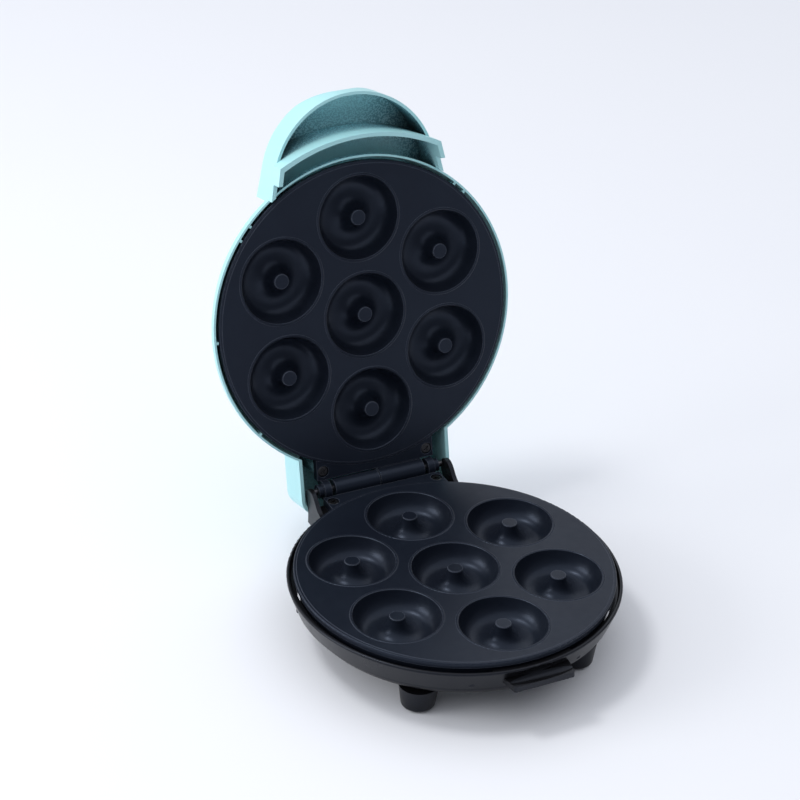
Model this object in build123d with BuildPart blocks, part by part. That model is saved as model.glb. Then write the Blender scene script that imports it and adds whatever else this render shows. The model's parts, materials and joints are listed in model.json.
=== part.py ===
"""Donut maker: two hinged, electrically heated plates with seven ring cups each, open on its stop.

Every piece is drawn with the two halves closed, about the vertical axis through the middle of the
lower plate, with the worktop at z = 0.  place() then moves it to its rest position: the lid pieces
swing open about the hinge pin, and everything shifts so that the origin is the bottom centre of
the opened machine.  +Z is up, the handle and finger lip face -Y, the hinge is at the back.
"""
from build123d import *
import math
import os

os.makedirs("parts", exist_ok=True)

# ---- driving dimensions, mm ----
FACE_Z = 44.5           # lower cooking face above the worktop
PLATE_GAP = 1.0         # between the two cooking faces when closed
RING_R = 61.5           # centres of the six outer cups from the middle one
CUP_R = 26.1            # rim of a cup
CUP_DEPTH = 12.0
BEAD_W = 1.6            # raised bead round each cup
BEAD_H = 0.32
POST_R = 4.5            # flat top of the post that makes the donut's hole
RAISED_R = 94.4         # raised cooking disc
PLATE_R = 96.3          # outer edge of the plate
PLATE_T = 2.6           # general thickness of the casting
RAISED_H = 0.15         # faint step round the raised disc
FLANGE_DROP = 0.8       # rear tab below the cooking face
FLANGE_T = 2.5

HINGE_Y = 107.3         # pin behind the plate centre
HINGE_Z = FACE_Z + PLATE_GAP / 2
OPEN_ANGLE = 102.7      # lid on its stop, leaning back past upright
PIN_R = 2.0
PIN_BORE_R = 2.05
PIN_HALF_LENGTH = 45.2
BARREL_R = 5.8
BARREL_END = 30.75
KNUCKLE_START = 33.5
KNUCKLE_END = 38.0
KNUCKLE_BOSS_END = 41.4
TAB_HALF_WIDTH = 40.0
TAB_BACK = 101.0
TAB_T = 5.0
HINGE_SCREW_X = 35.7
HINGE_SCREW_Y = 95.6

HOUSING_TOP_Z = FACE_Z - 4.5
HOUSING_LOW_Z = FACE_Z - 18.6
HOUSING_TOP_R = 100.8
HOUSING_LOW_R = 95.6
WALL = 2.2
PAN_TOP_R = 92.3
PAN_Z = 15.0            # underside of the base above the worktop
BLOCK_HALF_WIDTH = 48.4 # outside of the hinge cheeks
CHEEK_T = 2.8
BLOCK_BACK = 104.8

HOUSING_H = HOUSING_TOP_Z - HOUSING_LOW_Z
TAB_LOW_Z = FACE_Z - FLANGE_DROP - TAB_T
SCREW_ANGLES = (9, 171, 249, 291)      # base screws, between the outer cups and clear of the clips
SCREW_R = 84.0
WELL_TOP_Z = 24.7         # top of the pan's screw wells
LIP_X = 3.5               # the finger lip stands a little right of the middle
LIP_FRONT_Y = -107.0
LIP_LOW_Z = FACE_Z - 14.2
LIP_TOP_Z = FACE_Z - 10.6
SCOOP_HALF_WIDTH = 22.5   # finger scoop in the lip and the wall above it
SCOOP_R = 4.5
SCOOP_Y = -102.6
SCOOP_Z = FACE_Z - 8.8

FOOT_CENTRES = [(-52.3, -59.3), (52.3, -59.3), (-31.0, 88.0), (31.0, 88.0)]
FOOT_TOP_R = 11.9
FOOT_BOTTOM_R = 9.9
PAD_PROUD = 0.8

LID_RIM_Z = FACE_Z + 1.9
LID_RIM_R = 99.6
LID_RIM_T = 1.3
RIM_LIP_Z = FACE_Z + 5.5     # top of the upright lip at the lid's rim
DOME_LOW = (94.9, FACE_Z + 15.9)
LID_TOP_Z = FACE_Z + 43.0
RIB_ANGLES = (140, 180, 218, 224, 313, 318)    # ribs that centre the plate in the lid
LAMP_SPACING = 18.0
LAMP_Y = -62.0
LAMP_FLOOR_Z = FACE_Z + 35.6
LAMP_R = 4.0
HOOD_HALF_WIDTH = 51.5
HOOD_BACK = 123.0
HOOD_TOP_Z = FACE_Z + 32.0

HANDLE_Y = -85.0        # centre of the handle's outer arc
HANDLE_R = 54.0
HANDLE_RIM_Z = FACE_Z + 0.5
HANDLE_CEILING_Z = FACE_Z + 21.8
HANDLE_TOP_Z = FACE_Z + 24.2
NOSE_Z = FACE_Z + 8.0     # height of the handle's front, under the rounding
NOSE_ROUND = 31.0
APRON_FRONT = 115.3     # curved wall across the handle, at its foremost
APRON_CORNER = (53.0, -102.6)
APRON_ROOT = (57.4, -80.5)
APRON_STEP_Y = -92.0     # behind this the apron's sides stop short, clear of the base
APRON_LOW_Z = FACE_Z - 10.5
APRON_T = 2.4

ELEMENT_R = 58.0        # heating tube's circle
ELEMENT_TUBE_R = 3.2
ELEMENT_OPENING = 36.0  # degrees left open at the back
ELEMENT_DEPTH = 18.0    # tube centre under the cooking face
SHIELD_DEPTH = 25.6
SHIELD_R = 79.0
SHIELD_T = 0.7

GLAND_X = 18.0
GLAND_Z = 21.9
CORD_BORE_R = 3.1

ORIGIN_Y = 37.1         # middle of the opened machine, front to back

CUP_CENTRES = [(0.0, 0.0)] + [
    (RING_R * math.cos(math.radians(a)), RING_R * math.sin(math.radians(a))) for a in range(30, 390, 60)
]


def polar(radius, angle):
    return (radius * math.cos(math.radians(angle)), radius * math.sin(math.radians(angle)))


# ---- rest positions ----
BASE_PLACE = Pos(0, -ORIGIN_Y, 0)
HINGE_PLACE = Pos(0, HINGE_Y, HINGE_Z)
LID_PLACE = BASE_PLACE * HINGE_PLACE * Rot(-OPEN_ANGLE, 0, 0) * HINGE_PLACE.inverse()
FLIP = Pos(0, 0, HINGE_Z) * Rot(0, 180, 0) * Pos(0, 0, -HINGE_Z)   # lower pieces turned over for the lid


def save(piece, name, place=BASE_PLACE):
    """Label a finished piece, put it in its rest position and write its STEP file."""
    piece.part.label = name
    piece.part.move(place)
    export_step(piece.part, f"parts/{name}.step")


# ---- cooking plate: one casting, used twice ----
def cup_profile():
    """Half section of the space that one donut half fills, from the post to the cup's rim."""
    neck = POST_R + 0.5
    trough = (neck + CUP_R) / 2 + 0.4
    with BuildSketch(Plane.XZ) as section:
        with BuildLine():
            Line((POST_R, 1), (POST_R, -0.2))
            Line((POST_R, -0.2), (POST_R + 0.3, -0.5))
            Line((POST_R + 0.3, -0.5), (neck, -2.2))
            Bezier((neck, -2.2), (neck + 0.9, -8.6), (trough - 6.6, -CUP_DEPTH), (trough, -CUP_DEPTH))
            Bezier((trough, -CUP_DEPTH), (trough + 6.8, -CUP_DEPTH), (CUP_R - 1.4, -6.2), (CUP_R, 0))
            Line((CUP_R, 0), (CUP_R, 1))
            Line((CUP_R, 1), (POST_R, 1))
        make_face()
    return section


def rim_bead():
    """Half section of the raised bead round a cup."""
    with BuildSketch(Plane.XZ) as section:
        with BuildLine():
            Line((CUP_R, -0.3), (CUP_R, 0))
            ThreePointArc((CUP_R, 0), (CUP_R + BEAD_W / 2, BEAD_H), (CUP_R + BEAD_W, 0))
            Line((CUP_R + BEAD_W, 0), (CUP_R + BEAD_W, -0.3))
            Line((CUP_R + BEAD_W, -0.3), (CUP_R, -0.3))
        make_face()
    return section


def plate_casting():
    """Cast plate with its face at z = 0: raised disc, flange, cups, hinge tab, barrel and knuckle."""
    profile = cup_profile()
    bead_profile = rim_bead()
    with BuildPart() as cup_space:
        revolve(profile.sketch, axis=Axis.Z)
    with BuildPart() as bead:
        revolve(bead_profile.sketch, axis=Axis.Z)
    with BuildPart() as boss:
        with BuildSketch(Plane.XZ):
            with BuildLine():
                Line((0, -1), (CUP_R + 1.5, -1))
                Bezier(
                    (CUP_R + 1.5, -1), (CUP_R + 1.1, -10.5), (23.5, -CUP_DEPTH - 2.6), (16, -CUP_DEPTH - 2.6)
                )
                Line((16, -CUP_DEPTH - 2.6), (0, -CUP_DEPTH - 2.6))
                Line((0, -CUP_DEPTH - 2.6), (0, -1))
            make_face()
        revolve(axis=Axis.Z)
    flange_low = -FLANGE_DROP - FLANGE_T
    with BuildPart() as plate:
        with BuildSketch(Plane.XZ) as section:
            with BuildLine():
                Polyline(
                    (0, 0), (RAISED_R, 0), (RAISED_R + 0.2, -RAISED_H), (PLATE_R, -RAISED_H),
                    (PLATE_R, flange_low), (95.0, flange_low), (94.2, -9.0),
                    (92.2, -9.0), (92.2, -PLATE_T), (0, -PLATE_T), close=True,
                )
            make_face()
            fillet(section.vertices().group_by(Axis.X)[-1].sort_by(Axis.Y)[-1], 0.8)
        revolve(axis=Axis.Z)
        # rear tab
        with BuildSketch(Plane.XY.offset(-FLANGE_DROP)):
            with Locations((0, (82 + TAB_BACK) / 2)):
                Rectangle(2 * TAB_HALF_WIDTH, TAB_BACK - 82)
        extrude(amount=-TAB_T)
        # webs to the barrel and the end knuckle
        for x_low, x_high in ((-BARREL_END, -0.3), (KNUCKLE_START, KNUCKLE_END)):
            with BuildSketch(Plane.XY.offset(-FLANGE_DROP - 0.2)):
                with Locations(((x_low + x_high) / 2, (98 + HINGE_Y) / 2)):
                    Rectangle(x_high - x_low, HINGE_Y - 98)
            extrude(amount=-4.2)
            with BuildSketch(Plane.YZ.offset(x_low)):
                with Locations((HINGE_Y, PLATE_GAP / 2)):
                    Circle(BARREL_R)
            extrude(amount=x_high - x_low)
        with BuildSketch(Plane.YZ.offset(KNUCKLE_END)):
            with Locations((HINGE_Y, PLATE_GAP / 2)):
                Circle(4.3)
        extrude(amount=KNUCKLE_BOSS_END - KNUCKLE_END)
        # cups
        with Locations(*CUP_CENTRES):
            add(boss.part)
            add(bead.part)
        with Locations(*CUP_CENTRES):
            add(cup_space.part, mode=Mode.SUBTRACT)
        # posts that the heating tube's clips screw to
        with BuildSketch(Plane.XY.offset(-PLATE_T + 0.5)):
            for angle in (0, 180, 240, 300):
                with Locations(polar(38, angle), polar(79, angle)):
                    Circle(3.0)
        extrude(amount=-(ELEMENT_DEPTH + ELEMENT_TUBE_R + 0.2 - PLATE_T + 0.5))
        # pin bore and hinge screw holes
        with Locations(Location((0, HINGE_Y, PLATE_GAP / 2), (0, 90, 0))):
            Cylinder(PIN_BORE_R, 100, mode=Mode.SUBTRACT)
        with Locations(*[(x, HINGE_SCREW_Y, -FLANGE_DROP) for x in (-HINGE_SCREW_X, HINGE_SCREW_X)]):
            CounterBoreHole(radius=2.1, counter_bore_radius=3.7, counter_bore_depth=2.4, depth=TAB_T + 1)
    return plate


# ---- heating parts, drawn under a plate whose face is at z = 0 ----
def heating_element():
    """Sheathed heating tube bent to an open ring, with a terminal pin at each end."""
    start = 90 + ELEMENT_OPENING / 2
    with BuildPart() as element:
        for angle in (start, start - ELEMENT_OPENING):
            with BuildSketch(Plane.XZ.rotated((0, 0, angle))):
                with Locations((ELEMENT_R, -ELEMENT_DEPTH)):
                    Circle(1.2)
            side = 1 if angle < 90 else -1
            extrude(amount=-7.0 * side)
        with BuildSketch(Plane.XZ.rotated((0, 0, start))):
            with Locations((ELEMENT_R, -ELEMENT_DEPTH)):
                Circle(ELEMENT_TUBE_R)
        revolve(axis=Axis.Z, revolution_arc=360 - ELEMENT_OPENING)
    return element


def element_clips():
    """Four flat steel straps that press the heating tube against the cups."""
    top = -(ELEMENT_DEPTH + ELEMENT_TUBE_R + 0.4)
    with BuildPart() as clips:
        with BuildSketch(Plane.XY.offset(top)):
            for angle in (0, 180, 240, 300):
                with Locations(Location((*polar(58.5, angle), 0), (0, 0, angle))):
                    SlotOverall(49, 8)
                with Locations(polar(38, angle), polar(79, angle)):
                    Circle(1.7, mode=Mode.SUBTRACT)
        extrude(amount=-1.0)
    return clips


def clip_screws():
    """Pan head screws of the clips, eight in all."""
    top = -(ELEMENT_DEPTH + ELEMENT_TUBE_R + 1.5)
    with BuildPart() as screws:
        with BuildSketch(Plane.XY.offset(top)):
            for angle in (0, 180, 240, 300):
                with Locations(polar(38, angle), polar(79, angle)):
                    Circle(2.8)
        extrude(amount=-1.3)
        chamfer(screws.faces().sort_by(Axis.Z)[:8].edges(), 0.4)
        with BuildSketch(Plane.XY.offset(top)):
            for angle in (0, 180, 240, 300):
                with Locations(polar(38, angle), polar(79, angle)):
                    Circle(1.5)
        extrude(amount=1.05)
    return screws


def heat_shield():
    """Thin sheet disc that keeps the heat off the casing, with two holes for the wires."""
    with BuildPart() as shield:
        with BuildSketch(Plane.XY.offset(-SHIELD_DEPTH)):
            Circle(SHIELD_R)
            with Locations((-16, 66), (16, 66)):
                Circle(4.5, mode=Mode.SUBTRACT)
            with Locations((0, 0)):
                Circle(6, mode=Mode.SUBTRACT)
        extrude(amount=SHIELD_T)
    return shield


def hinge_screws():
    """Two cross-head screws that hold a plate's rear tab, with their heads just under its face."""
    spots = [(-HINGE_SCREW_X, HINGE_SCREW_Y), (HINGE_SCREW_X, HINGE_SCREW_Y)]
    seat = -FLANGE_DROP - 2.35
    with BuildPart() as screws:
        with BuildSketch(Plane.XY.offset(seat)):
            with Locations(*spots):
                Circle(3.4)
        extrude(amount=1.9)
        fillet(screws.faces().sort_by(Axis.Z)[-2:].edges(), 0.7)
        with BuildSketch(Plane.XY.offset(seat)):
            with Locations(*spots):
                Circle(1.85)
        extrude(amount=-11)
        with BuildSketch(Plane.XY.offset(seat + 0.9)):
            with Locations(*spots):
                Rectangle(3.8, 0.9, rotation=30)
                Rectangle(0.9, 3.8, rotation=30)
        extrude(amount=3, mode=Mode.SUBTRACT)
    return screws


def thermostat():
    """Bimetal disc thermostat with two blade terminals, hung under the plate."""
    x, y = polar(84, 120)
    with BuildPart() as body:
        with BuildSketch(Plane.XY.offset(-PLATE_T - 1.2)):
            with Locations((x, y)):
                Circle(6.2)
        extrude(amount=-7.5)
        chamfer(body.faces().sort_by(Axis.Z)[0].edges(), 0.8)
        with BuildSketch(Plane.XY.offset(-PLATE_T - 8.7)):
            with Locations((x - 3.6, y), (x + 3.6, y)):
                Rectangle(0.8, 4.8)
        extrude(amount=-6)
    return body


def thermostat_bracket():
    """Flat bracket that holds the thermostat against the plate."""
    x, y = polar(84, 120)
    with BuildPart() as bracket:
        with BuildSketch(Plane.XY.offset(-PLATE_T - 0.1)):
            with Locations(Location((x, y, 0), (0, 0, 30))):
                SlotOverall(19, 8)
        extrude(amount=-0.9)
    return bracket


def thermal_fuse():
    """Thermal fuse in its woven sleeve, lying against the plate."""
    x, y = polar(84, 60)
    with BuildPart() as fuse:
        with Locations(Location((x, y, -PLATE_T - 2.6), (0, 90, -30))):
            Cylinder(2.3, 13)
            Cylinder(0.5, 21)
    return fuse


# ---- base ----
def cheek_profile():
    """Side view of a hinge cheek: an S curve that rises from the rim to a rounded lobe at the pin."""
    with BuildSketch(Plane.YZ) as side:
        with BuildLine():
            Line((85.6, HOUSING_LOW_Z), (85.6, HOUSING_TOP_Z))
            Line((85.6, HOUSING_TOP_Z), (87, HOUSING_TOP_Z))
            Bezier((87, HOUSING_TOP_Z), (94.5, HOUSING_TOP_Z + 0.5), (96, HINGE_Z + 4.6), (103, HINGE_Z + 4.6))
            Bezier((103, HINGE_Z + 4.6), (108, HINGE_Z + 4.6), (110.5, HINGE_Z + 1), (108.5, HINGE_Z - 4))
            Bezier(
                (108.5, HINGE_Z - 4), (107, HINGE_Z - 8), (BLOCK_BACK, HINGE_Z - 9), (BLOCK_BACK, HINGE_Z - 13)
            )
            Line((BLOCK_BACK, HINGE_Z - 13), (BLOCK_BACK, HOUSING_LOW_Z))
            Line((BLOCK_BACK, HOUSING_LOW_Z), (85.6, HOUSING_LOW_Z))
        make_face()
    return side


def finger_lip():
    """Block that the finger lip is cut from, under the scoop."""
    with BuildPart() as lip:
        with BuildSketch(Plane.XY.offset(LIP_LOW_Z)):
            with BuildLine():
                Polyline(
                    (LIP_X + 21.5, -93), (LIP_X + 19.5, LIP_FRONT_Y + 0.8), (LIP_X + 18.5, LIP_FRONT_Y),
                    (LIP_X - 18.5, LIP_FRONT_Y), (LIP_X - 19.5, LIP_FRONT_Y + 0.8), (LIP_X - 21.5, -93),
                )
                ThreePointArc((LIP_X - 21.5, -93), (LIP_X, -95.3), (LIP_X + 21.5, -93))
            make_face()
        extrude(amount=LIP_TOP_Z - LIP_LOW_Z)
    return lip


def finger_scoop():
    """Long rounded scoop that hollows the lip and arches up into the wall above it."""
    with BuildPart() as scoop:
        with BuildSketch(Plane.XY):
            Ellipse(SCOOP_HALF_WIDTH, SCOOP_R)
            with Locations((0, SCOOP_R / 2)):
                Rectangle(2 * SCOOP_HALF_WIDTH, SCOOP_R, mode=Mode.INTERSECT)
        revolve(axis=Axis.X)
    return scoop


def base_housing():
    """Black flared ring round the lower plate, with the finger lip in front and the hinge cheeks behind."""
    lean = (HOUSING_TOP_R - HOUSING_LOW_R) / HOUSING_H
    inner_top = HOUSING_TOP_R - WALL
    lip = finger_lip()
    scoop = finger_scoop()
    cheek = cheek_profile()
    with BuildPart() as housing:
        with BuildSketch(Plane.XZ) as section:
            with BuildLine():
                Polyline(
                    (inner_top, HOUSING_TOP_Z), (HOUSING_TOP_R, HOUSING_TOP_Z), (HOUSING_LOW_R, HOUSING_LOW_Z),
                    (HOUSING_LOW_R - WALL, HOUSING_LOW_Z), (inner_top - 5.0 * lean, HOUSING_TOP_Z - 5.0),
                    (95.6, HOUSING_TOP_Z - 5.0), (95.6, HOUSING_TOP_Z - 2.8),
                    (inner_top - 2.8 * lean, HOUSING_TOP_Z - 2.8), close=True,
                )
            make_face()
            fillet(section.vertices().group_by(Axis.Y)[-1].sort_by(Axis.X)[-1], 1.1)
            chamfer(section.vertices().group_by(Axis.Y)[0].sort_by(Axis.X)[-1], 0.6)
        revolve(axis=Axis.Z)
        # second wall behind the finger scoop
        with BuildSketch(Plane.XZ.rotated((0, 0, 256))):
            with BuildLine():
                Polyline(
                    (inner_top - 2.6, HOUSING_TOP_Z - 0.6), (inner_top + 0.2, HOUSING_TOP_Z - 0.6),
                    (HOUSING_TOP_R - WALL + 0.2 - 11.0 * lean, HOUSING_TOP_Z - 11.6),
                    (HOUSING_TOP_R - WALL - 2.6 - 11.0 * lean, HOUSING_TOP_Z - 11.6), close=True,
                )
            make_face()
        revolve(axis=Axis.Z, revolution_arc=30)
        add(lip.part)
        add(scoop.part.moved(Pos(LIP_X, SCOOP_Y, SCOOP_Z)), mode=Mode.SUBTRACT)
        # the ring is open at the back, where the cheeks and the rear wall take over
        with BuildSketch(Plane.XY.offset(HOUSING_LOW_Z - 1)):
            with Locations((0, 100)):
                Rectangle(2 * BLOCK_HALF_WIDTH - 2, 40)
        extrude(amount=30, mode=Mode.SUBTRACT)
        for x in (-BLOCK_HALF_WIDTH, BLOCK_HALF_WIDTH - CHEEK_T):
            extrude(cheek.sketch.moved(Pos(x, 0, 0)), amount=CHEEK_T)
        with BuildSketch(Plane.XY.offset(HOUSING_LOW_Z + 2.1)):
            with Locations((0, BLOCK_BACK - WALL / 2)):
                Rectangle(2 * BLOCK_HALF_WIDTH, WALL)
        extrude(amount=6)
        # blocks under the tab's screws
        with BuildSketch(Plane.XY.offset(HOUSING_LOW_Z + 3.2)):
            for side in (-1, 1):
                with Locations((side * (HINGE_SCREW_X + 1), HINGE_SCREW_Y + 0.2)):
                    Rectangle(15, 9)
                with Locations((side * HINGE_SCREW_X, 101.5)):
                    Rectangle(6, 5)
        extrude(amount=TAB_LOW_Z - 0.1 - HOUSING_LOW_Z - 3.2)
        with Locations((-HINGE_SCREW_X, HINGE_SCREW_Y, FACE_Z), (HINGE_SCREW_X, HINGE_SCREW_Y, FACE_Z)):
            Cylinder(1.95, 30, mode=Mode.SUBTRACT)
        # posts for the screws from below
        with BuildSketch(Plane.XY.offset(HOUSING_LOW_Z + 3.4)):
            for angle in SCREW_ANGLES:
                with Locations(Location((*polar(89, angle), 0), (0, 0, angle))):
                    SlotOverall(17, 7)
        extrude(amount=HOUSING_H - 9.0)
        with Locations(*[(*polar(SCREW_R, angle), WELL_TOP_Z + 0.2) for angle in SCREW_ANGLES]):
            Cylinder(3.3, 7, align=(Align.CENTER, Align.CENTER, Align.MIN))
            Cylinder(1.45, 15, align=(Align.CENTER, Align.CENTER, Align.MIN), mode=Mode.SUBTRACT)
    return housing


def pan_section():
    """Half section of the pan, filled in."""
    with BuildSketch(Plane.XZ) as section:
        with BuildLine():
            Polyline((0, 28), (0, PAN_Z), (72, PAN_Z))
            Bezier((72, PAN_Z), (84, PAN_Z), (PAN_TOP_R, 18), (PAN_TOP_R, 25.5))
            Polyline((PAN_TOP_R, 25.5), (PAN_TOP_R, 28), (0, 28))
        make_face()
    return section


def base_pan():
    """Bottom of the base: a dished pan with four tapered feet, screw wells and the cord hole."""
    filled = pan_section()
    with BuildPart() as wells:
        with Locations(*[(*polar(SCREW_R, angle), PAN_Z) for angle in SCREW_ANGLES]):
            Cylinder(5.0, WELL_TOP_Z - PAN_Z, align=(Align.CENTER, Align.CENTER, Align.MIN))
        revolve(filled.sketch, axis=Axis.Z, mode=Mode.INTERSECT)
    with BuildPart() as pan:
        revolve(filled.sketch, axis=Axis.Z)
        with BuildSketch(Plane.XY.offset(PAN_Z)):
            with Locations((0, (60 + 101.8) / 2)):
                Rectangle(86.4, 41.8)
        extrude(amount=12.5)
        chamfer(pan.edges().filter_by(Axis.Z).group_by(Axis.Y)[-1], 2.0)
        with Locations(*[(x, y, PAD_PROUD) for x, y in FOOT_CENTRES]):
            Cone(FOOT_BOTTOM_R, FOOT_TOP_R, PAN_Z + 0.8 - PAD_PROUD, align=(Align.CENTER, Align.CENTER, Align.MIN))
        fillet(pan.edges().group_by(Axis.Z)[0], 2.6)
        # hollow inside
        with BuildSketch(Plane.XZ):
            with BuildLine():
                Polyline((0, 29), (0, PAN_Z + WALL), (71.6, PAN_Z + WALL))
                Bezier((71.6, PAN_Z + WALL), (82, PAN_Z + WALL), (PAN_TOP_R - WALL, 20), (PAN_TOP_R - WALL, 26))
                Polyline((PAN_TOP_R - WALL, 26), (PAN_TOP_R - WALL, 29), (0, 29))
            make_face()
        revolve(axis=Axis.Z, mode=Mode.SUBTRACT)
        with BuildSketch(Plane.XY.offset(PAN_Z + WALL)):
            with Locations((0, (58 + 99.6) / 2)):
                Rectangle(82, 41.6)
        extrude(amount=14, mode=Mode.SUBTRACT)
        # screw wells
        add(wells.part)
        with Locations(*[(*polar(SCREW_R, angle), PAN_Z - 1) for angle in SCREW_ANGLES]):
            Cylinder(3.6, 22.6 - PAN_Z + 1, align=(Align.CENTER, Align.CENTER, Align.MIN), mode=Mode.SUBTRACT)
            Cylinder(1.9, 12, align=(Align.CENTER, Align.CENTER, Align.MIN), mode=Mode.SUBTRACT)
        # pad seats and cord hole
        with Locations(*[(x, y, 0) for x, y in FOOT_CENTRES]):
            Cylinder(6.7, 2.2, align=(Align.CENTER, Align.CENTER, Align.MIN), mode=Mode.SUBTRACT)
        with Locations(Location((GLAND_X, 100, GLAND_Z), (90, 0, 0))):
            Cylinder(4.0, 8, mode=Mode.SUBTRACT)
    return pan


def foot_pads():
    """Four rubber pads let into the feet; the machine stands on them."""
    with BuildPart() as pads:
        with BuildSketch():
            with Locations(*FOOT_CENTRES):
                Circle(6.5)
        extrude(amount=2.1)
        chamfer(pads.faces().sort_by(Axis.Z)[:4].edges(), 0.4)
    return pads


def base_screws():
    """Four screws from below, up through the pan into the housing."""
    spots = [polar(SCREW_R, angle) for angle in SCREW_ANGLES]
    with BuildPart() as screws:
        with BuildSketch(Plane.XY.offset(20.6)):
            with Locations(*spots):
                Circle(3.1)
        extrude(amount=1.9)
        chamfer(screws.faces().sort_by(Axis.Z)[:4].edges(), 0.5)
        with BuildSketch(Plane.XY.offset(22.5)):
            with Locations(*spots):
                Circle(1.35)
        extrude(amount=8)
        with BuildSketch(Plane.XY.offset(20.0)):
            with Locations(*spots):
                Rectangle(3.6, 0.9)
                Rectangle(0.9, 3.6)
        extrude(amount=1.5, mode=Mode.SUBTRACT)
    return screws


def cord_gland():
    """Rubber bush in the rear wall, flanged on both sides, with the hole that the mains cord enters by."""
    with BuildPart() as gland:
        with BuildSketch(Plane.XZ.offset(-97.2)):
            with Locations((GLAND_X, GLAND_Z)):
                Circle(4.6)
        extrude(amount=-2.3)
        with BuildSketch(Plane.XZ.offset(-99.5)):
            with Locations((GLAND_X, GLAND_Z)):
                Circle(3.9)
        extrude(amount=-2.4)
        with BuildSketch(Plane.XZ.offset(-101.9)):
            with Locations((GLAND_X, GLAND_Z)):
                Circle(4.6)
        extrude(amount=-2.9)
        chamfer(gland.faces().sort_by(Axis.Y)[-1].edges(), 0.6)
        with Locations(Location((GLAND_X, 101, GLAND_Z), (90, 0, 0))):
            Cylinder(CORD_BORE_R, 20, mode=Mode.SUBTRACT)
    return gland


def terminal_block():
    """Two-way terminal block where the mains cord ends."""
    with BuildPart() as block:
        with BuildSketch(Plane.XY.offset(PAN_Z + WALL + 0.1)):
            with Locations((-14, 94.6)):
                Rectangle(24, 8)
        extrude(amount=10)
        with Locations((-20, 94.6, 27.3), (-8, 94.6, 27.3)):
            Cylinder(2.2, 5, mode=Mode.SUBTRACT)
        with Locations(Location((-20, 90.6, 22.5), (90, 0, 0)), Location((-8, 90.6, 22.5), (90, 0, 0))):
            Cylinder(1.5, 4, mode=Mode.SUBTRACT)
    return block


def terminal_screws():
    """Brass screws of the terminal block."""
    with BuildPart() as screws:
        with Locations((-20, 94.6, 25.0), (-8, 94.6, 25.0)):
            Cylinder(2.0, 1.8, align=(Align.CENTER, Align.CENTER, Align.MIN))
        with BuildSketch(Plane.XY.offset(26.2)):
            with Locations((-20, 94.6), (-8, 94.6)):
                Rectangle(5, 0.6)
        extrude(amount=2, mode=Mode.SUBTRACT)
    return screws


def element_wire(side):
    """Insulated wire from the terminal block to one end of the lower heating tube."""
    end = -8 if side > 0 else -20
    with BuildPart() as wire:
        with BuildLine() as route:
            FilletPolyline(
                (side * 10.6, 57.6, 26.4), (side * 8.0, 62.0, 25.0), (side * 8.0, 78.0, 22.6), (end, 88.0, 22.5),
                (end, 92.0, 22.5), radius=1.6,
            )
        with BuildSketch(Plane(origin=route.line @ 0, z_dir=route.line % 0)):
            Circle(1.1)
        sweep()
    return wire


def hinge_pin():
    """Steel pin through both plates, trapped between the cheeks."""
    with BuildPart() as pin:
        with Locations(Location((0, HINGE_Y, HINGE_Z), (0, 90, 0))):
            Cylinder(PIN_R, 2 * PIN_HALF_LENGTH)
        chamfer(pin.edges().filter_by(GeomType.CIRCLE), 0.4)
    return pin


# ---- lid ----
def dome_section(inset):
    """Half section of the lid's dome from its rim up to the middle, moved in by inset."""
    rim_r = LID_RIM_R - inset * LID_RIM_T / WALL
    low_r, low_z = DOME_LOW
    with BuildSketch(Plane.XZ) as section:
        with BuildLine():
            Polyline(
                (0, LID_RIM_Z - inset), (rim_r, LID_RIM_Z - inset), (rim_r, RIM_LIP_Z - 0.1 * inset),
                (low_r - 0.93 * inset, low_z - 0.2 * inset),
            )
            Bezier(
                (low_r - 0.93 * inset, low_z - 0.2 * inset), (87.3 - 0.85 * inset, FACE_Z + 33.8 - 0.7 * inset),
                (68.0 - 0.5 * inset, LID_TOP_Z - inset), (0, LID_TOP_Z - inset),
            )
            Line((0, LID_TOP_Z - inset), (0, LID_RIM_Z - inset))
        make_face()
    return section


def hood(inset):
    """Square hood behind the dome that covers the hinge, moved in by inset."""
    half = HOOD_HALF_WIDTH - inset
    back = HOOD_BACK - inset
    with BuildPart() as block:
        with BuildSketch(Plane.XY.offset(LID_RIM_Z - inset)):
            with Locations((0, (40 + back) / 2)):
                Rectangle(2 * half, back - 40)
        extrude(amount=HOOD_TOP_Z - LID_RIM_Z)
        fillet(block.edges().filter_by(Axis.Z).group_by(Axis.Y)[-1], 11 - inset)
        fillet(block.faces().sort_by(Axis.Z)[-1].edges().sort_by(Axis.Y)[1:], 9 - inset)
    return block


def handle_outline(inset):
    """Plan of the handle: a round nose whose sides run back to the dome, moved in by inset."""
    corner_x, corner_y = APRON_CORNER
    root_x, root_y = APRON_ROOT
    radius = HANDLE_R - inset
    side = math.sqrt(radius ** 2 - (corner_y - HANDLE_Y) ** 2)
    with BuildSketch() as outline:
        with BuildLine():
            ThreePointArc((-side, corner_y), (0, HANDLE_Y - radius), (side, corner_y))
            Polyline(
                (side, corner_y), (root_x - inset, root_y), (40, -70), (-40, -70), (inset - root_x, root_y),
                (-side, corner_y),
            )
        make_face()
    return outline


def apron_outline(inset):
    """Plan of the space behind the curved apron wall, moved in by inset."""
    corner_x, corner_y = APRON_CORNER
    root_x, root_y = APRON_ROOT
    with BuildSketch() as outline:
        with BuildLine():
            ThreePointArc(
                (inset - corner_x, corner_y + inset), (0, inset - APRON_FRONT), (corner_x - inset, corner_y + inset)
            )
            Polyline(
                (corner_x - inset, corner_y + inset), (root_x - inset, root_y), (40, -70), (-40, -70),
                (inset - root_x, root_y), (inset - corner_x, corner_y + inset),
            )
        make_face()
    return outline


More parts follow.
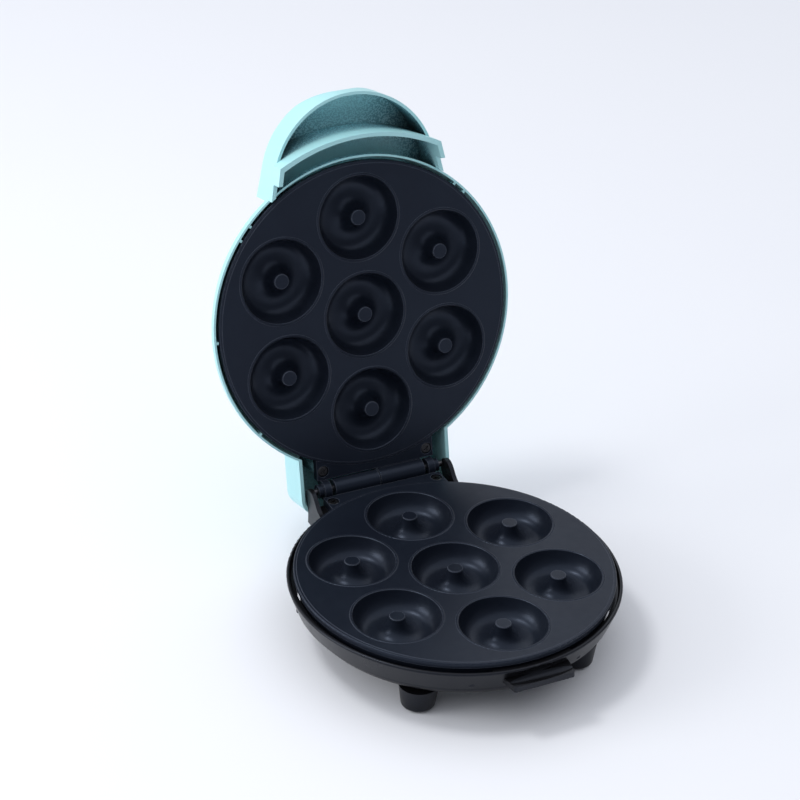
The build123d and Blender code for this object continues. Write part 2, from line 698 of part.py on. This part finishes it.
def handle_side(inset):
    """Side view of the handle: level by the dome, rounding down to a low nose, moved in by inset."""
    front = HANDLE_Y - HANDLE_R + 0.8 * inset
    top = HANDLE_TOP_Z - inset
    nose = NOSE_Z - inset
    with BuildSketch(Plane.YZ) as side:
        with BuildLine():
            Polyline((front + NOSE_ROUND, top), (-60, top), (-60, APRON_LOW_Z - 5), (front, APRON_LOW_Z - 5))
            Line((front, APRON_LOW_Z - 5), (front, nose))
            Bezier((front, nose), (front, top - 4), (front + 12, top), (front + NOSE_ROUND, top))
        make_face()
    return side


def lid_handle():
    """Handle block in front of the dome: hollow from below, with the apron wall across it."""
    nose = handle_outline(0)
    apron = apron_outline(0)
    apron_space = apron_outline(APRON_T)
    nose_space = handle_outline(1.8).sketch - apron.sketch
    outer_side = handle_side(0)
    inner_side = handle_side(HANDLE_TOP_Z - HANDLE_CEILING_Z)
    with BuildPart() as hollow:
        extrude(nose_space.moved(Pos(0, 0, HANDLE_RIM_Z)), amount=30)
        extrude(apron_space.sketch.moved(Pos(0, 0, APRON_LOW_Z)), amount=50)
        extrude(inner_side.sketch, amount=70, both=True, mode=Mode.INTERSECT)
    with BuildPart() as handle:
        extrude(nose.sketch.moved(Pos(0, 0, HANDLE_RIM_Z)), amount=HANDLE_TOP_Z - HANDLE_RIM_Z)
        fillet(handle.faces().sort_by(Axis.Z)[-1].edges().sort_by(Axis.Y)[:3], 5.0)
        extrude(outer_side.sketch, amount=70, both=True, mode=Mode.INTERSECT)
        extrude(apron.sketch.moved(Pos(0, 0, APRON_LOW_Z)), amount=HANDLE_RIM_Z - APRON_LOW_Z)
        add(hollow.part, mode=Mode.SUBTRACT)
        # the apron's sides stop short near the dome, and nothing hangs below the dome's rim
        with BuildSketch(Plane.XY.offset(APRON_LOW_Z - 1)):
            with Locations((0, APRON_STEP_Y + 20)):
                Rectangle(130, 40)
        extrude(amount=FACE_Z - 3.0 - APRON_LOW_Z + 1, mode=Mode.SUBTRACT)
        with BuildSketch(Plane.XY.offset(APRON_LOW_Z - 1)):
            Circle(LID_RIM_R)
        extrude(amount=LID_RIM_Z - APRON_LOW_Z + 1, mode=Mode.SUBTRACT)
    return handle


def lid_shell():
    """Aqua lid: dome, handle and hinge hood in one moulding."""
    handle = lid_handle()
    outer_dome = dome_section(0)
    inner_dome = dome_section(WALL)
    outer_hood = hood(0)
    inner_hood = hood(WALL)
    with BuildPart() as lid:
        add(handle.part)
        revolve(outer_dome.sketch, axis=Axis.Z)
        add(outer_hood.part)
        # shallow window for the indicator lamps
        with BuildSketch(Plane.XY.offset(LAMP_FLOOR_Z)):
            with Locations((0, LAMP_Y)):
                SlotOverall(LAMP_SPACING + 18, 14)
        extrude(amount=20, mode=Mode.SUBTRACT)
        revolve(inner_dome.sketch, axis=Axis.Z, mode=Mode.SUBTRACT)
        add(inner_hood.part, mode=Mode.SUBTRACT)
        # the slot behind the apron opens into the dome
        with BuildSketch(Plane.XY.offset(FACE_Z + 8)):
            with Locations((0, -92)):
                Rectangle(80, 22)
        extrude(amount=12.5, mode=Mode.SUBTRACT)
        # floor of the lamp window
        with BuildSketch(Plane.XY.offset(LAMP_FLOOR_Z - 2.0)):
            with Locations((0, LAMP_Y)):
                SlotOverall(LAMP_SPACING + 22, 18)
        extrude(amount=2.0)
        with BuildSketch(Plane.XY.offset(LAMP_FLOOR_Z - 3.0)):
            with Locations((-LAMP_SPACING / 2, LAMP_Y), (LAMP_SPACING / 2, LAMP_Y)):
                Circle(LAMP_R + 0.1)
        extrude(amount=4.0, mode=Mode.SUBTRACT)
        # bosses for the hinge screws, hung from the hood's ceiling, and the ribs that centre the plate
        with BuildSketch(Plane.XY.offset(2 * HINGE_Z - TAB_LOW_Z + 0.1)):
            with Locations((-HINGE_SCREW_X, HINGE_SCREW_Y), (HINGE_SCREW_X, HINGE_SCREW_Y)):
                Circle(4.2)
                Circle(1.95, mode=Mode.SUBTRACT)
        extrude(amount=HOOD_TOP_Z - 1.0 - (2 * HINGE_Z - TAB_LOW_Z + 0.1))
        for angle in RIB_ANGLES:
            with BuildSketch(Plane.XY.offset(LID_RIM_Z + 0.3)):
                with Locations(Location((*polar(97.6, angle), 0), (0, 0, angle))):
                    Rectangle(1.8, 1.6)
            extrude(amount=6)
    return lid


def lamp_lenses():
    """Two domed indicator lenses in the lamp window."""
    with BuildPart() as lenses:
        for x in (-LAMP_SPACING / 2, LAMP_SPACING / 2):
            with BuildSketch(Plane.XZ.offset(-LAMP_Y)):
                with BuildLine():
                    Polyline(
                        (x, LAMP_FLOOR_Z + 1.2), (x, LAMP_FLOOR_Z - 3.4), (x + LAMP_R + 1.0, LAMP_FLOOR_Z - 3.4),
                        (x + LAMP_R + 1.0, LAMP_FLOOR_Z - 2.2), (x + LAMP_R, LAMP_FLOOR_Z - 2.2),
                        (x + LAMP_R, LAMP_FLOOR_Z + 0.2),
                    )
                    Bezier(
                        (x + LAMP_R, LAMP_FLOOR_Z + 0.2), (x + LAMP_R - 0.2, LAMP_FLOOR_Z + 1.2), (x + 2, LAMP_FLOOR_Z + 1.2),
                        (x, LAMP_FLOOR_Z + 1.2),
                    )
                make_face()
            revolve(axis=Axis((x, LAMP_Y, 0), (0, 0, 1)))
    return lenses


def lamp_holder():
    """Bracket under the lenses that carries the two neon lamps."""
    with BuildPart() as holder:
        with BuildSketch(Plane.XY.offset(FACE_Z + 28.2)):
            with Locations((0, LAMP_Y)):
                SlotOverall(LAMP_SPACING + 20, 11)
        extrude(amount=1.4)
        with BuildSketch(Plane.XY.offset(FACE_Z + 29.6)):
            with Locations((-LAMP_SPACING / 2, LAMP_Y), (LAMP_SPACING / 2, LAMP_Y)):
                Circle(4.6)
                Circle(3.6, mode=Mode.SUBTRACT)
        extrude(amount=LAMP_FLOOR_Z - 3.6 - FACE_Z - 29.6)
    return holder


def neon_lamps():
    """Two neon lamps standing in the holder."""
    with BuildPart() as lamps:
        with Locations((-LAMP_SPACING / 2, LAMP_Y, FACE_Z + 29.7), (LAMP_SPACING / 2, LAMP_Y, FACE_Z + 29.7)):
            Cylinder(2.6, 2.2, align=(Align.CENTER, Align.CENTER, Align.MIN))
    return lamps


# ---- every piece in its rest position ----
ON_BASE = BASE_PLACE * Pos(0, 0, FACE_Z)
ON_LID = LID_PLACE * FLIP * Pos(0, 0, FACE_Z)
for which, place in (("lower", ON_BASE), ("upper", ON_LID)):
    save(plate_casting(), f"{which}_plate", place)
    save(heating_element(), f"{which}_heating_element", place)
    save(element_clips(), f"{which}_element_clips", place)
    save(clip_screws(), f"{which}_clip_screws", place)
    save(heat_shield(), f"{which}_heat_shield", place)
    save(hinge_screws(), f"{which}_hinge_screws", place)
save(thermostat(), "thermostat", ON_BASE)
save(thermostat_bracket(), "thermostat_bracket", ON_BASE)
save(thermal_fuse(), "thermal_fuse", ON_BASE)
save(base_housing(), "base_housing")
save(base_pan(), "base_pan")
save(foot_pads(), "foot_pads")
save(base_screws(), "base_screws")
save(cord_gland(), "cord_gland")
save(terminal_block(), "terminal_block")
save(terminal_screws(), "terminal_screws")
save(element_wire(-1), "live_wire")
save(element_wire(1), "neutral_wire")
save(hinge_pin(), "hinge_pin")
save(lid_shell(), "lid_shell", LID_PLACE)
save(lamp_lenses(), "lamp_lenses", LID_PLACE)
save(lamp_holder(), "lamp_holder", LID_PLACE)
save(neon_lamps(), "neon_lamps", LID_PLACE)
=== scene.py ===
import json
import math

import bmesh
import bpy
from mathutils import Matrix, Vector

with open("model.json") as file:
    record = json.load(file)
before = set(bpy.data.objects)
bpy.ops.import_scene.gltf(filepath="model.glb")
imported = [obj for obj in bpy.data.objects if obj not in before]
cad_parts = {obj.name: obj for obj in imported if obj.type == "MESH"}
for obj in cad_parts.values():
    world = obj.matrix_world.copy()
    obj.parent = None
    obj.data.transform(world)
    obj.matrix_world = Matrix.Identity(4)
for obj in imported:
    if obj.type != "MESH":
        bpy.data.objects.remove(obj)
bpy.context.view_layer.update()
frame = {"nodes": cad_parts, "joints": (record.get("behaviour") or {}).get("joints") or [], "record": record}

# ---- places: the hinge comes from the frame, the rest are in metres ----
HINGE = Vector(frame["joints"][0]["pos_m"])
HINGE_TO_CENTRE = 0.1073          # from the pin to the middle of a plate
FACE_HEIGHT = 0.0445              # lower cooking face above the worktop
PLATE_CENTRE = Vector((0, HINGE.y - HINGE_TO_CENTRE, FACE_HEIGHT))
CUP_RING = 0.0615                 # centres of the outer cups from the middle

# ---- camera ----
CAMERA_AZIMUTH = math.radians(-27.15)
CAMERA_ELEVATION = math.radians(30.49)
CAMERA_ROLL = math.radians(2.26)
CAMERA_FROM_PLATE = Vector((-9.939, -18.074, 13.994)) * CUP_RING
CAMERA_LENS = 115.65


def add_camera():
    away = Vector((
        math.sin(CAMERA_AZIMUTH) * math.cos(CAMERA_ELEVATION),
        -math.cos(CAMERA_AZIMUTH) * math.cos(CAMERA_ELEVATION),
        math.sin(CAMERA_ELEVATION),
    ))
    right = (-away).cross(Vector((0, 0, 1))).normalized()
    up = right.cross(-away)
    c, s = math.cos(CAMERA_ROLL), math.sin(CAMERA_ROLL)
    turned_right = right * c + up * s
    turned_up = up * c - right * s
    camera = bpy.data.objects.new("camera", bpy.data.cameras.new("camera"))
    camera.data.lens = CAMERA_LENS
    camera.data.sensor_width = 36
    camera.data.clip_start = 0.05
    camera.data.clip_end = 50
    camera.matrix_world = Matrix.Translation(PLATE_CENTRE + CAMERA_FROM_PLATE) @ Matrix(
        (turned_right, turned_up, away)
    ).transposed().to_4x4()
    bpy.context.scene.collection.objects.link(camera)
    bpy.context.scene.camera = camera


# ---- materials ----
DRIFT_BAND = (0.35, 0.65)         # middle of a noise, where slow drift between two colours happens
GLOSS_BAND = (0.3, 0.7)           # middle of a noise, where gloss or streaks vary
FULL = (0, 1)
FINE_BUMP = 0.00002               # 20 micrometres of relief, the usual moulded or sprayed grain
LOW_SPECULAR = 0.3


def new_material(name, roughness, metallic=0.0, **extra):
    """A material with its Principled node, and the object coordinates that every pattern follows."""
    material = bpy.data.materials.new(name)
    material.use_nodes = True
    tree = material.node_tree
    shader = tree.nodes["Principled BSDF"]
    shader.inputs["Roughness"].default_value = roughness
    shader.inputs["Metallic"].default_value = metallic
    for key, value in extra.items():
        shader.inputs[key.replace("_", " ")].default_value = value
    coords = tree.nodes.new("ShaderNodeTexCoord")
    return material, tree, shader, coords


def noise(tree, coords, scale, detail, roughness=0.5):
    node = tree.nodes.new("ShaderNodeTexNoise")
    node.inputs["Scale"].default_value = scale
    node.inputs["Detail"].default_value = detail
    node.inputs["Roughness"].default_value = roughness
    tree.links.new(coords.outputs["Object"], node.inputs["Vector"])
    return node.outputs["Fac"]


def remap(tree, value, low, high, to_low, to_high):
    node = tree.nodes.new("ShaderNodeMapRange")
    node.inputs["From Min"].default_value = low
    node.inputs["From Max"].default_value = high
    node.inputs["To Min"].default_value = to_low
    node.inputs["To Max"].default_value = to_high
    tree.links.new(value, node.inputs["Value"])
    return node.outputs["Result"]


def mix_colours(tree, factor, first, second):
    node = tree.nodes.new("ShaderNodeMix")
    node.data_type = "RGBA"
    tree.links.new(factor, node.inputs["Factor"])
    for socket, colour in (("A", first), ("B", second)):
        target = [i for i in node.inputs if i.name == socket and i.type == "RGBA"][0]
        if isinstance(colour, bpy.types.NodeSocket):
            tree.links.new(colour, target)
        else:
            target.default_value = (*colour, 1.0)
    return [o for o in node.outputs if o.type == "RGBA"][0]


def bump(tree, height, distance):
    node = tree.nodes.new("ShaderNodeBump")
    node.inputs["Distance"].default_value = distance
    node.inputs["Strength"].default_value = 1.0
    tree.links.new(height, node.inputs["Height"])
    return node.outputs["Normal"]


def edge_mask(tree, width, gain):
    """1 along convex and concave edges narrower than width, 0 on open faces."""
    soft = tree.nodes.new("ShaderNodeBevel")
    soft.samples = 4
    soft.inputs["Radius"].default_value = width
    plain = tree.nodes.new("ShaderNodeNewGeometry")
    dot = tree.nodes.new("ShaderNodeVectorMath")
    dot.operation = "DOT_PRODUCT"
    tree.links.new(soft.outputs["Normal"], dot.inputs[0])
    tree.links.new(plain.outputs["Normal"], dot.inputs[1])
    return remap(tree, dot.outputs["Value"], 1.0, 1.0 - 1.0 / gain, 0.0, 1.0)


def cavity_mask(tree, reach, low, high):
    """1 deep inside a hollow of the shell, 0 on open faces."""
    node = tree.nodes.new("ShaderNodeAmbientOcclusion")
    node.samples = 8
    node.only_local = True
    node.inputs["Distance"].default_value = reach
    return remap(tree, node.outputs["AO"], low, high, 1.0, 0.0)


def moulded_plastic(name, colour, shade, roughness, grain, grain_depth, **extra):
    """Moulded plastic: a fine eroded grain, slow drift of colour, and slightly uneven gloss."""
    material, tree, shader, coords = new_material(name, roughness, **extra)
    drift = noise(tree, coords, 14, 2)
    skin = mix_colours(tree, remap(tree, drift, *DRIFT_BAND, *FULL), colour, shade)
    tree.links.new(skin, shader.inputs["Base Color"])
    gloss = remap(tree, noise(tree, coords, 60, 4), *GLOSS_BAND, roughness - 0.04, roughness + 0.05)
    tree.links.new(gloss, shader.inputs["Roughness"])
    texture = noise(tree, coords, grain, 2, 0.6)
    tree.links.new(bump(tree, texture, grain_depth), shader.inputs["Normal"])
    return material


def aqua_plastic():
    """Aqua moulding: satin outside, eroded speckle in the handle hollow, and painted shade, near black, in
    the tightest corners.
    """
    material, tree, shader, coords = new_material("lid_aqua", 0.33)
    drift = noise(tree, coords, 14, 2)
    patches = remap(tree, drift, *DRIFT_BAND, *FULL)
    skin = mix_colours(tree, patches, (0.40, 0.72, 0.75), (0.42, 0.74, 0.77))
    speck = remap(tree, noise(tree, coords, 900, 1), 0.46, 0.56, *FULL)
    speckled = mix_colours(tree, speck, (0.12, 0.30, 0.36), (0.40, 0.72, 0.78))
    inner = mix_colours(tree, cavity_mask(tree, 0.03, 0.28, 0.52), skin, speckled)
    # painted shade: the deepest hollows of the lid are turned near black, standing in for the shade that
    # falls inside them
    painted_cavity_shade = mix_colours(tree, cavity_mask(tree, 0.02, 0.12, 0.40), inner, (0.012, 0.030, 0.036))
    tree.links.new(painted_cavity_shade, shader.inputs["Base Color"])
    gloss = remap(tree, noise(tree, coords, 60, 4), *GLOSS_BAND, 0.29, 0.38)
    tree.links.new(gloss, shader.inputs["Roughness"])
    texture = noise(tree, coords, 1500, 2, 0.6)
    tree.links.new(bump(tree, texture, FINE_BUMP), shader.inputs["Normal"])
    return material


def black_plastic():
    return moulded_plastic("base_black", (0.005, 0.005, 0.006), (0.007, 0.007, 0.008), 0.30, 1800, FINE_BUMP,
                           Specular_IOR_Level=LOW_SPECULAR, Specular_Tint=(0.72, 0.80, 1.0, 1.0))


def coated_plate():
    """Sprayed non-stick coat: dark blue-grey, finely grained, with a painted highlight that makes the edges
    a little paler.
    """
    material, tree, shader, coords = new_material("plate_coating", 0.34, Specular_IOR_Level=LOW_SPECULAR,
                                                   Specular_Tint=(0.62, 0.74, 1.0, 1.0))
    drift = noise(tree, coords, 25, 3)
    patches = remap(tree, drift, *DRIFT_BAND, *FULL)
    coat = mix_colours(tree, patches, (0.006, 0.008, 0.014), (0.008, 0.011, 0.018))
    # painted highlight: a paler line along rims and edges, standing in for light caught on the rounded edges
    painted_edge_highlight = mix_colours(tree, edge_mask(tree, 0.0006, 8.0), coat, (0.075, 0.085, 0.11))
    tree.links.new(painted_edge_highlight, shader.inputs["Base Color"])
    gloss = remap(tree, noise(tree, coords, 220, 4), *GLOSS_BAND, 0.29, 0.37)
    tree.links.new(gloss, shader.inputs["Roughness"])
    texture = noise(tree, coords, 2200, 2, 0.6)
    tree.links.new(bump(tree, texture, FINE_BUMP), shader.inputs["Normal"])
    return material


def drawn_metal(name, colour, dark, roughness, along):
    """Turned or drawn metal: streaks stretched along one direction."""
    material, tree, shader, coords = new_material(name, roughness, 1.0)
    stretch = tree.nodes.new("ShaderNodeMapping")
    stretch.inputs["Scale"].default_value = along
    tree.links.new(coords.outputs["Object"], stretch.inputs["Vector"])
    streaks = tree.nodes.new("ShaderNodeTexNoise")
    streaks.inputs["Scale"].default_value = 500
    streaks.inputs["Detail"].default_value = 3
    tree.links.new(stretch.outputs["Vector"], streaks.inputs["Vector"])
    fac = remap(tree, streaks.outputs["Fac"], *GLOSS_BAND, *FULL)
    tree.links.new(mix_colours(tree, fac, colour, dark), shader.inputs["Base Color"])
    gloss = remap(tree, streaks.outputs["Fac"], *GLOSS_BAND, roughness - 0.05, roughness + 0.08)
    tree.links.new(gloss, shader.inputs["Roughness"])
    tree.links.new(bump(tree, streaks.outputs["Fac"], 0.00001), shader.inputs["Normal"])
    return material


# name: colour, second colour, roughness, grain scale, grain depth in metres
PLAIN_PLASTICS = {
    "thermostat_body": ((0.09, 0.055, 0.04), (0.07, 0.045, 0.03), 0.5, 900, 0.00003),
    "fuse_sleeve": ((0.80, 0.78, 0.70), (0.70, 0.68, 0.60), 0.8, 1400, 0.0001),
    "terminal_white": ((0.80, 0.80, 0.76), (0.74, 0.74, 0.70), 0.45, 900, FINE_BUMP),
    "wire_brown": ((0.20, 0.08, 0.04), (0.17, 0.07, 0.03), 0.45, 900, FINE_BUMP),
    "wire_blue": ((0.05, 0.13, 0.42), (0.04, 0.11, 0.36), 0.45, 900, FINE_BUMP),
    "rubber_black": ((0.020, 0.020, 0.021), (0.028, 0.028, 0.028), 0.65, 1100, 0.00005),
    "holder_white": ((0.78, 0.78, 0.74), (0.72, 0.72, 0.68), 0.45, 900, FINE_BUMP),
}

# name: colour, second colour, roughness, how the streaks are squeezed along X, Y and Z
METALS = {
    "pin_steel": ((0.10, 0.10, 0.11), (0.07, 0.07, 0.08), 0.34, (0.1, 1, 1)),
    "screw_dark": ((0.10, 0.10, 0.105), (0.07, 0.07, 0.075), 0.32, (1, 1, 1)),
    "element_sheath": ((0.30, 0.27, 0.24), (0.16, 0.13, 0.12), 0.50, (1, 1, 1)),
    "spring_steel": ((0.60, 0.60, 0.61), (0.50, 0.50, 0.50), 0.28, (1, 0.15, 1)),
    "shield_sheet": ((0.80, 0.80, 0.81), (0.68, 0.68, 0.69), 0.35, (0.1, 1, 1)),
    "brass": ((0.72, 0.53, 0.24), (0.60, 0.42, 0.17), 0.30, (1, 1, 1)),
}

# the same five values, then how much light passes through
CLEAR_PLASTICS = {
    "lamp_lens": ((0.62, 0.07, 0.03), (0.55, 0.05, 0.03), 0.12, 700, 0.00001, 0.5),
    "lamp_glass": ((0.92, 0.80, 0.74), (0.90, 0.76, 0.70), 0.05, 700, 0.00001, 0.9),
}

MATERIALS = {"lid_aqua": aqua_plastic(), "base_black": black_plastic(), "plate_coating": coated_plate()}
for slot_name, look in PLAIN_PLASTICS.items():
    MATERIALS[slot_name] = moulded_plastic(slot_name, *look)
for slot_name, look in METALS.items():
    MATERIALS[slot_name] = drawn_metal(slot_name, *look)
for slot_name, (*look, passing) in CLEAR_PLASTICS.items():
    MATERIALS[slot_name] = moulded_plastic(slot_name, *look, Transmission_Weight=passing)


def paint_nodes():
    for part in frame["record"]["subparts"]:
        node = frame["nodes"][part["node"]]
        for slot in node.material_slots:
            slot.material = MATERIALS[part["material_slot"]]


# ---- stage ----
FLOOR_RADIUS = 12.0
FLOOR_DROP = 0.0001               # the floor lies this far under the feet


def add_floor():
    material, tree, shader, coords = new_material("paper", 0.75)
    drift = noise(tree, coords, 1.5, 3)
    paper = mix_colours(tree, drift, (0.80, 0.815, 0.86), (0.84, 0.85, 0.885))
    tree.links.new(paper, shader.inputs["Base Color"])
    mesh = bpy.data.meshes.new("floor")
    shape = bmesh.new()
    bmesh.ops.create_circle(shape, cap_ends=True, segments=96, radius=FLOOR_RADIUS)
    shape.to_mesh(mesh)
    shape.free()
    floor = bpy.data.objects.new("floor", mesh)
    floor.location.z = -FLOOR_DROP
    mesh.materials.append(material)
    bpy.context.scene.collection.objects.link(floor)


def aim(light, place):
    """Put a light at place and point it at the middle of the lower plate."""
    light.location = place
    light.rotation_euler = (PLATE_CENTRE - Vector(place)).to_track_quat("-Z", "Y").to_euler()
    bpy.context.scene.collection.objects.link(light)


def add_area(name, place, size, power, colour):
    light = bpy.data.objects.new(name, bpy.data.lights.new(name, "AREA"))
    light.data.shape = "RECTANGLE"
    light.data.size, light.data.size_y = size
    light.data.energy = power
    light.data.color = colour
    aim(light, place)


def add_sky(name, place, strength, spread, colour):
    """A far light as wide as spread degrees, so its shadows are soft and the floor is evenly lit."""
    light = bpy.data.objects.new(name, bpy.data.lights.new(name, "SUN"))
    light.data.energy = strength
    light.data.angle = math.radians(spread)
    light.data.color = colour
    aim(light, place)


WHITE = (1.0, 1.0, 1.0)
SKY_COLOUR = (0.96, 0.975, 1.0)
ROOM_COLOUR = (0.86, 0.90, 1.0, 1.0)
ROOM_STRENGTH = 0.30


def add_lights():
    add_sky("sky", (-0.6, 0.7, 3.0), 1.95, 125, SKY_COLOUR)
    add_area("side", (-1.6, 0.35, 0.65), (0.9, 0.7), 11, WHITE)
    add_area("softbox", (-0.75, 0.35, 1.75), (0.40, 0.40), 9, WHITE)
    world = bpy.data.worlds.new("world")
    world.use_nodes = True
    world.node_tree.nodes["Background"].inputs["Color"].default_value = ROOM_COLOUR
    world.node_tree.nodes["Background"].inputs["Strength"].default_value = ROOM_STRENGTH
    bpy.context.scene.world = world
    bpy.context.scene.view_settings.view_transform = "Standard"


add_camera()
paint_nodes()
add_floor()
add_lights()
